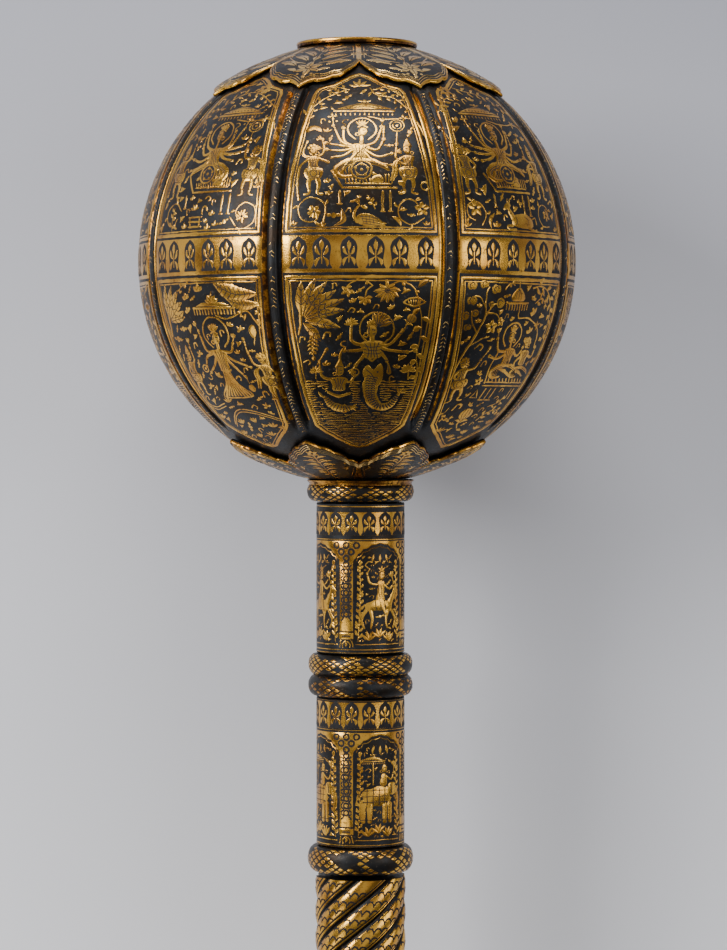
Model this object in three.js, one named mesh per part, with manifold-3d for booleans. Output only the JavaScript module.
// A ceremonial mace of blued steel with gold laid on it, lying on its side.
// Millimetres, +Z up. The axis runs along Y, with the head at the +Y end.
// Every piece is first made in the mace's own frame: a station is a distance along the axis from
// the centre of the head, positive towards the crown, and an angle of 0 is the side that ends up
// on top. The last section lays the mace on the floor.
import * as THREE from "three";
import { mergeVertices } from "three/addons/utils/BufferGeometryUtils.js";
import Module from "manifold-3d";

const wasm = await Module();
wasm.setup();

// Driving dimensions
const headRadius = 50;
const goreCount = 8;
const headTurn = THREE.MathUtils.degToRad(1.2);
const haftOffset = 0.8;
const haftRadius = 10.1;
const ringRadius = 12.1;
const pommelRadius = 17;
const plateGap = 0.3;
const headFlatDepth = 0.35;
const pommelFlatDepth = 0.8;

// Stations of the joints between the pieces of the haft, from the neck down
const collarTop = -47.3;
const collarEnd = -54.7;
const upperSleeveEnd = -89.3;
const doubleRingEnd = -99.2;
const lowerSleeveEnd = -133.3;
const singleRingEnd = -139.5;
const twistEnd = -440;
const gripRingEnd = -450;
const gripEnd = -570;
const endRingEnd = -576.3;
const pommelCentre = -593;
const pommelEnd = -614;

// The twist: eight strands, and how far along the axis one strand takes for a whole turn
const strandCount = 8;
const twistLead = 48.9;
const twistOrigin = -140.0;
const strandCrest = 10.35;
const strandGroove = 9.4;

// The rib between two gores, from its crest outwards: distance along the surface, and height
const ribProfile = [
  [0, 0.35],
  [0.8, 0.22],
  [1.3, -0.7],
  [2.5, 0],
];
const ribEndLatitude = 46;
const ribFade = 4;
const globePlateLatitude = 58;
const globeEndLatitude = 73.5;
const globeEndDrop = 1.0;

const degrees = THREE.MathUtils.degToRad;
const goreAngle = (2 * Math.PI) / goreCount;
const steel = { color: 0x2c3138, roughness: 0.42, metalness: 0.9 };
const steelAndGold = { color: 0x7a5f35, roughness: 0.4, metalness: 0.95 };
const gold = { color: 0xc9953c, roughness: 0.35, metalness: 1.0 };

// Tools for closed solids

function onAxisFrame(radius, angle, station) {
  return new THREE.Vector3(radius * Math.sin(angle), station, radius * Math.cos(angle));
}

function onGlobe(radius, angle, latitude) {
  return onAxisFrame(radius * Math.cos(latitude), angle, radius * Math.sin(latitude));
}

function signedVolume(geometry) {
  const position = geometry.getAttribute("position");
  const corner = [new THREE.Vector3(), new THREE.Vector3(), new THREE.Vector3()];
  let volume = 0;
  for (let i = 0; i < geometry.index.count; i += 3) {
    corner.forEach((point, k) => point.fromBufferAttribute(position, geometry.index.getX(i + k)));
    volume += corner[0].dot(corner[1].clone().cross(corner[2])) / 6;
  }
  return volume;
}

// Turns every face round if the solid came out inside out.
function facingOut(geometry) {
  if (signedVolume(geometry) < 0) {
    const index = Array.from(geometry.index.array);
    for (let i = 0; i < index.length; i += 3) {
      [index[i], index[i + 1]] = [index[i + 1], index[i]];
    }
    geometry.setIndex(index);
  }
  geometry.computeVertexNormals();
  return geometry;
}

function indexedGeometry(points, index) {
  const geometry = new THREE.BufferGeometry();
  geometry.setAttribute("position", new THREE.Float32BufferAttribute(points.flatMap((p) => p.toArray()), 3));
  geometry.setIndex(index);
  return facingOut(geometry);
}

// Triangles between two rings of points, which may have different numbers of points.
function stitch(index, first, firstCount, second, secondCount) {
  let i = 0;
  let j = 0;
  while (i < firstCount || j < secondCount) {
    const here = first + (i % firstCount);
    const there = second + (j % secondCount);
    if (j === secondCount || (i < firstCount && (i + 1) / firstCount <= (j + 1) / secondCount)) {
      i += 1;
      index.push(here, first + (i % firstCount), there);
    } else {
      j += 1;
      index.push(here, second + (j % secondCount), there);
    }
  }
}

function stitchAll(rings, closed) {
  const starts = [0];
  rings.forEach((ring) => starts.push(starts[starts.length - 1] + ring.length));
  const index = [];
  const bands = closed ? rings.length : rings.length - 1;
  for (let row = 0; row < bands; row += 1) {
    const next = (row + 1) % rings.length;
    stitch(index, starts[row], rings[row].length, starts[next], rings[next].length);
  }
  return index;
}

// A solid from rings of points, one above the other, closed by a fan at each end.
function solidFromRings(rings) {
  const count = rings[0].length;
  const points = rings.flat();
  const index = stitchAll(rings, false);
  [rings[0], rings[rings.length - 1]].forEach((ring, end) => {
    const centre = ring.reduce((sum, p) => sum.add(p), new THREE.Vector3()).divideScalar(count);
    const start = end === 0 ? 0 : points.length - 1 - count;
    points.push(centre);
    for (let i = 0; i < count; i += 1) {
      const pair = [start + i, start + ((i + 1) % count)];
      index.push(points.length - 1, ...(end === 0 ? pair.reverse() : pair));
    }
  });
  return indexedGeometry(points, index);
}

// A plate with a hole: rings that lead round its section and back to the first one.
function solidFromLoop(rings) {
  return indexedGeometry(rings.flat(), stitchAll(rings, true));
}

// A turned piece, from its profile of [radius, station] pairs that starts and ends on the axis.
function turned(profile, sides) {
  const lathe = new THREE.LatheGeometry(profile.map(([r, s]) => new THREE.Vector2(r, s)), sides);
  lathe.deleteAttribute("normal");
  lathe.deleteAttribute("uv");
  return facingOut(withoutFlatFaces(mergeVertices(lathe, 1e-4)));
}

function withoutFlatFaces(geometry) {
  const old = geometry.index.array;
  const index = [];
  for (let i = 0; i < old.length; i += 3) {
    const [a, b, c] = [old[i], old[i + 1], old[i + 2]];
    if (a !== b && b !== c && c !== a) {
      index.push(a, b, c);
    }
  }
  geometry.setIndex(index);
  return geometry;
}

function manifoldOf(geometry) {
  const bare = geometry.clone();
  bare.deleteAttribute("normal");
  bare.deleteAttribute("uv");
  const merged = mergeVertices(bare, 1e-4);
  return new wasm.Manifold(new wasm.Mesh({
    numProp: 3,
    vertProperties: new Float32Array(merged.getAttribute("position").array),
    triVerts: new Uint32Array(merged.index.array),
  }));
}

function cutBy(geometry, block) {
  const mesh = manifoldOf(geometry).subtract(manifoldOf(block)).getMesh();
  const result = new THREE.BufferGeometry();
  result.setAttribute("position", new THREE.Float32BufferAttribute(mesh.vertProperties, 3));
  result.setIndex(Array.from(mesh.triVerts));
  result.computeVertexNormals();
  return result;
}

// The globe: a sphere whose eight ribs stand between narrow grooves

function globeRadiusAt(latitude) {
  const slope = THREE.MathUtils.smoothstep(
    Math.abs(latitude), degrees(globePlateLatitude), degrees(globeEndLatitude));
  return headRadius - globeEndDrop * slope;
}

function ribStrengthAt(latitude) {
  const start = degrees(ribEndLatitude);
  return 1 - THREE.MathUtils.smoothstep(Math.abs(latitude), start, start + degrees(ribFade));
}

// The angles and heights of the points between one rib and the next, at one latitude.
function goreSection(latitude) {
  const ringScale = headRadius * Math.cos(latitude);
  const flank = ribProfile.map(([distance, height]) => [distance / ringScale, height]);
  const edge = flank[flank.length - 1][0];
  const quarter = (goreAngle / 2 - edge) / 2;
  const half = [...flank, [edge + quarter, 0], [goreAngle / 2, 0]];
  const mirrored = half.slice(1, -1).reverse().map(([angle, height]) => [goreAngle - angle, height]);
  return [...half, ...mirrored];
}

function globeRing(latitude) {
  const ring = [];
  for (let gore = 0; gore < goreCount; gore += 1) {
    const ribAngle = headTurn + (gore + 0.5) * goreAngle;
    for (const [angle, height] of goreSection(latitude)) {
      const radius = globeRadiusAt(latitude) + height * ribStrengthAt(latitude);
      ring.push(onGlobe(radius, ribAngle + angle, latitude));
    }
  }
  return ring;
}

function makeHeadGlobe() {
  const bandRows = 10;
  const latitudes = [];
  for (let row = 0; row <= bandRows; row += 1) {
    latitudes.push(ribEndLatitude * (2 * row / bandRows - 1));
  }
  const upper = [ribEndLatitude + ribFade, 62, globeEndLatitude];
  const lower = upper.map((latitude) => -latitude).reverse();
  return solidFromRings([...lower, ...latitudes, ...upper].map((latitude) => globeRing(degrees(latitude))));
}

// The calottes: thick plates over the top and the bottom of the globe, with petals on the ribs.
// One half petal goes from its tip on a rib to the notch between two petals, over cusps that are
// given as [degrees from the rib, latitude]. Between two cusps the edge swells by a part of a degree.

const upperPetal = {
  cusps: [[0, 46.3], [5.2, 48.9], [12, 50.3], [17.6, 53.2], [22.5, 58.3]],
  swell: [-0.4, 0.7, 0.9, 0.7],
};
const lowerPetal = {
  cusps: [[0, 52.6], [5.2, 55.2], [11.0, 57.9], [17.2, 62.0], [22.5, 64.2]],
  swell: [0.3, 0.7, 0.9, 0.6],
};
const calotteGap = 0.4;
const coarseStep = 4;

function halfPetalPoints(petal) {
  const points = [];
  petal.swell.forEach((swell, i) => {
    const [fromAngle, fromLatitude] = petal.cusps[i];
    const [toAngle, toLatitude] = petal.cusps[i + 1];
    points.push([fromAngle, fromLatitude]);
    points.push([(fromAngle + toAngle) / 2, (fromLatitude + toLatitude) / 2 - swell]);
  });
  return points;
}

function calotteEdge(petal) {
  const half = halfPetalPoints(petal);
  const notch = petal.cusps[petal.cusps.length - 1];
  const petalAngle = 360 / goreCount;
  const mirrored = half.slice(1).reverse().map(([angle, latitude]) => [petalAngle - angle, latitude]);
  const whole = [...half, notch, ...mirrored];
  const edge = [];
  for (let gore = 0; gore < goreCount; gore += 1) {
    for (const [angle, latitude] of whole) {
      edge.push([headTurn + (gore + 0.5) * goreAngle + degrees(angle), degrees(latitude)]);
    }
  }
  return edge;
}

// A plate's outer radius goes from edgeRadius at its petals to crownRadius at its hole, and its
// underside follows the globe.
function makeCalotte({ petal, side, edgeRadius, crownRadius, hole }) {
  const edge = calotteEdge(petal);
  const coarse = edge.filter((point, i) => i % coarseStep === 0);
  const middle = degrees(66);
  const topRadius = (latitude) => THREE.MathUtils.mapLinear(
    Math.min(latitude, middle), degrees(52), middle, edgeRadius, crownRadius);
  const underRadius = (latitude) => globeRadiusAt(latitude) + calotteGap;
  const shoulder = (latitude) => THREE.MathUtils.lerp(latitude, middle, 0.45);
  const ring = (points, radiusOf, latitudeOf) => points.map(([angle, latitude]) =>
    onGlobe(radiusOf(latitudeOf(latitude)), angle, side * latitudeOf(latitude)));
  const holeRing = (radius) => coarse.map(([angle]) => onGlobe(radius, angle, side * Math.acos(hole / radius)));
  const own = (latitude) => latitude;
  return solidFromLoop([
    ring(edge, topRadius, own),
    ring(edge, topRadius, shoulder),
    ring(coarse, topRadius, () => middle),
    holeRing(crownRadius),
    holeRing(headRadius - globeEndDrop + calotteGap),
    ring(coarse, underRadius, () => middle),
    ring(edge, underRadius, shoulder),
    ring(edge, underRadius, own),
  ]);
}

const upperHole = 12.9;
const lowerHole = 11;

function makeUpperCalotte() {
  return makeCalotte({ petal: upperPetal, side: 1, edgeRadius: 51.2, crownRadius: 50.3, hole: upperHole });
}

function makeLowerCalotte() {
  return makeCalotte({ petal: lowerPetal, side: -1, edgeRadius: 51.7, crownRadius: 50.8, hole: lowerHole });
}

// The crown ring: a low rim round a cap with a small boss
function makeCrownRing() {
  const rimRadius = 13.7;
  const rimTop = 50.1;
  const seat = 48.75;
  const capTop = 49.4;
  return turned([
    [0, 47.3],
    [upperHole - plateGap, 47.3],
    [upperHole - plateGap, seat],
    [rimRadius, seat + 0.1],
    [rimRadius, rimTop - 0.2],
    [rimRadius - 0.3, rimTop],
    [rimRadius - 1.7, rimTop],
    [rimRadius - 2.2, capTop],
    [4.2, capTop + 0.2],
    [3.4, rimTop],
    [1.6, rimTop + 0.5],
    [0, rimTop + 0.6],
  ], 20);
}

// Rings and sleeves of the haft

const haftSides = 20;

// Half an ellipse that swells out of the haft, from its upper end to its lower end.
function beadProfile(centre, halfHeight, root, crest, steps = 5) {
  const profile = [];
  for (let step = 0; step <= steps; step += 1) {
    const angle = Math.PI / 2 - (Math.PI * step) / steps;
    profile.push([root + (crest - root) * Math.cos(angle), centre + halfHeight * Math.sin(angle)]);
  }
  return profile;
}

function makeNeckCollar() {
  const flange = 12.2;
  const throat = 11.7;
  const plateSeat = -49.7;
  const plug = lowerHole - haftOffset - plateGap;
  const bead = beadProfile(-52.4, 2.3, 10.4, ringRadius + 0.15).slice(2);
  return turned([
    [0, collarTop],
    [plug, collarTop],
    [plug, plateSeat],
    [flange, plateSeat],
    [flange - 0.1, plateSeat - 0.3],
    [throat, plateSeat - 0.9],
    ...bead,
    [0, collarEnd],
  ], haftSides);
}

function makeDoubleRing(top, end) {
  const quarter = (top - end) / 4;
  const groove = 10.9;
  const upper = beadProfile(top - quarter, quarter, 10.3, ringRadius - 0.15).slice(0, -1);
  const lower = beadProfile(end + quarter, quarter, 10.3, ringRadius - 0.1).slice(1);
  return turned([[0, top], ...upper, [groove, (top + end) / 2], ...lower, [0, end]], haftSides);
}

function makeSingleRing(top, end) {
  const half = (top - end) / 2;
  return turned([[0, top], ...beadProfile(top - half, half, 10.3, ringRadius), [0, end]], haftSides);
}

function makeSleeve(top, end) {
  return turned([[0, top], [haftRadius, top], [haftRadius, end], [0, end]], haftSides);
}

// The twisted haft: a star of crests and grooves that turns as it goes along
function makeTwistedHaft(top, end) {
  const turnPerRow = degrees(40);
  const rowHeight = (twistLead * turnPerRow) / (2 * Math.PI);
  const rows = Math.round((top - end) / rowHeight);
  const rings = [];
  for (let row = 0; row <= rows; row += 1) {
    const station = top + ((end - top) * row) / rows;
    const twist = ((station - twistOrigin) * 2 * Math.PI) / twistLead;
    const ring = [];
    for (let i = 0; i < 2 * strandCount; i += 1) {
      const radius = i % 2 === 0 ? strandGroove : strandCrest;
      ring.push(onAxisFrame(radius, twist + (i * Math.PI) / strandCount, station));
    }
    rings.push(ring);
  }
  return solidFromRings(rings);
}

// The pommel: a neck, an eight-lobed knob and a button
function makePommel(top) {
  const lobeDepth = 0.9;
  const knobHalfHeight = 14;
  const pointsPerLobe = 3;
  const outline = [[9.2, top, 0], [9.2, top - 1.6, 0]];
  for (const angle of [55, 35, 12, -12, -35, -55]) {
    const swell = Math.cos(degrees(angle));
    outline.push([pommelRadius * swell, pommelCentre + knobHalfHeight * Math.sin(degrees(angle)), swell]);
  }
  outline.push([5.2, pommelEnd + 6.8, 0], [6.6, pommelEnd + 3.8, 0]);
  outline.push([4.4, pommelEnd + 0.8, 0], [2.0, pommelEnd, 0]);
  const count = goreCount * pointsPerLobe;
  const rings = outline.map(([radius, station, swell]) => {
    const ring = [];
    for (let i = 0; i < count; i += 1) {
      const angle = (i * 2 * Math.PI) / count;
      const dip = lobeDepth * swell * (1 - Math.abs(Math.cos((angle * goreCount) / 2)));
      ring.push(onAxisFrame(radius - dip, angle, station));
    }
    return ring;
  });
  return solidFromRings(rings);
}

// How the mace lies: the head and the pommel both touch the floor, so the axis slopes a little
const headFloor = headRadius - headFlatDepth;
const pommelFloor = pommelRadius - pommelFlatDepth;
const tilt = Math.asin((headFloor - pommelFloor) / -pommelCentre);

const mace = new THREE.Group();
mace.rotation.x = tilt;
mace.updateMatrixWorld();

// Everything below the floor, in the mace's own frame, less the offset of a piece's own group.
function floorBlock(offset) {
  const thickness = 20;
  const block = new THREE.BoxGeometry(200, 1600, thickness);
  block.translate(0, 0, -headFloor - thickness / 2);
  block.applyMatrix4(mace.matrix.clone().invert());
  block.translate(-offset, 0, 0);
  return block;
}

function addPiece(parent, name, geometry, look) {
  const mesh = new THREE.Mesh(geometry, new THREE.MeshStandardMaterial(look));
  mesh.name = name;
  parent.add(mesh);
}

const head = new THREE.Group();
addPiece(head, "head_globe", cutBy(makeHeadGlobe(), floorBlock(0)), steelAndGold);
addPiece(head, "upper_calotte", makeUpperCalotte(), steelAndGold);
addPiece(head, "lower_calotte", makeLowerCalotte(), steelAndGold);
addPiece(head, "crown_ring", makeCrownRing(), gold);

const haft = new THREE.Group();
haft.position.x = haftOffset;
addPiece(haft, "neck_collar", makeNeckCollar(), gold);
addPiece(haft, "upper_sleeve", makeSleeve(collarEnd - plateGap, upperSleeveEnd), steelAndGold);
addPiece(haft, "double_ring", makeDoubleRing(upperSleeveEnd - plateGap, doubleRingEnd), steel);
addPiece(haft, "lower_sleeve", makeSleeve(doubleRingEnd - plateGap, lowerSleeveEnd), steelAndGold);
addPiece(haft, "single_ring", makeSingleRing(lowerSleeveEnd - plateGap, singleRingEnd), steel);
addPiece(haft, "twisted_haft", makeTwistedHaft(singleRingEnd - plateGap, twistEnd), steelAndGold);
addPiece(haft, "grip_double_ring", makeDoubleRing(twistEnd - plateGap, gripRingEnd), steel);
addPiece(haft, "grip_sleeve", makeSleeve(gripRingEnd - plateGap, gripEnd), steelAndGold);
addPiece(haft, "end_ring", makeSingleRing(gripEnd - plateGap, endRingEnd), steel);
addPiece(haft, "pommel", cutBy(makePommel(endRingEnd - plateGap), floorBlock(haftOffset)), steelAndGold);

mace.add(head, haft);

const centre = new THREE.Box3().setFromObject(mace, true).getCenter(new THREE.Vector3());
mace.position.set(-centre.x, -centre.y, headFloor);
mace.updateMatrixWorld(true);

export default mace;
